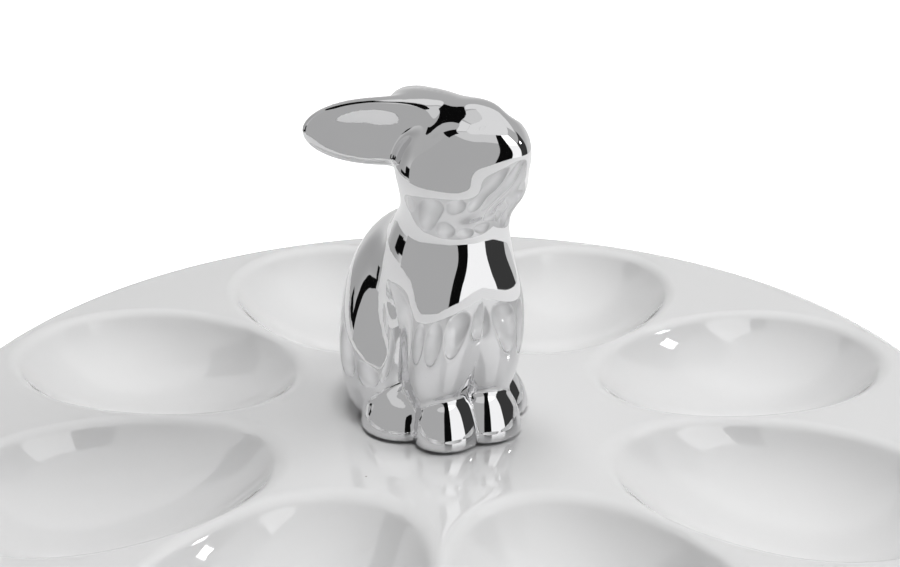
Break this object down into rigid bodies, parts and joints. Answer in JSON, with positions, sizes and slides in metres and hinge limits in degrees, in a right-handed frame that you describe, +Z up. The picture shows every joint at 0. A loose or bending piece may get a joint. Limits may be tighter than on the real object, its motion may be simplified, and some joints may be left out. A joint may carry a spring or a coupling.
{
  "type": "deviled egg platter",
  "caption": "Round glazed egg platter with a ring of egg-shaped wells and a silvered seated rabbit on a sleeved peg that pulls out of, and turns in, the centre hole.",
  "frame": {"origin": "middle of the platter at table level", "axes": "+Z up through the centre hole, -Y towards the front of the platter, between two wells"},
  "size_m": [0.23, 0.23, 0.0968],
  "materials": {
    "white_glaze": "glossy white glaze",
    "silver_lustre": "mirror silver lustre over glaze",
    "peg_plastic": "plain moulded",
    "silicone": "soft matt silicone"
  },
  "bodies": {
    "platter": {"platter": "white_glaze"},
    "sleeve": {"grip_sleeve": "silicone"},
    "ornament": {"rabbit": "silver_lustre", "peg": "peg_plastic"}
  },
  "joints": [
    {"name": "ornament_pull", "type": "slide", "parent": "platter", "child": "sleeve", "axis": [0, 0, 1], "range_m": [0, 0.04]},
    {"name": "ornament_turn", "type": "hinge", "parent": "sleeve", "child": "ornament", "pos_m": [0, 0, 0.024], "axis": [0, 0, 1], "continuous": true}
  ]
}
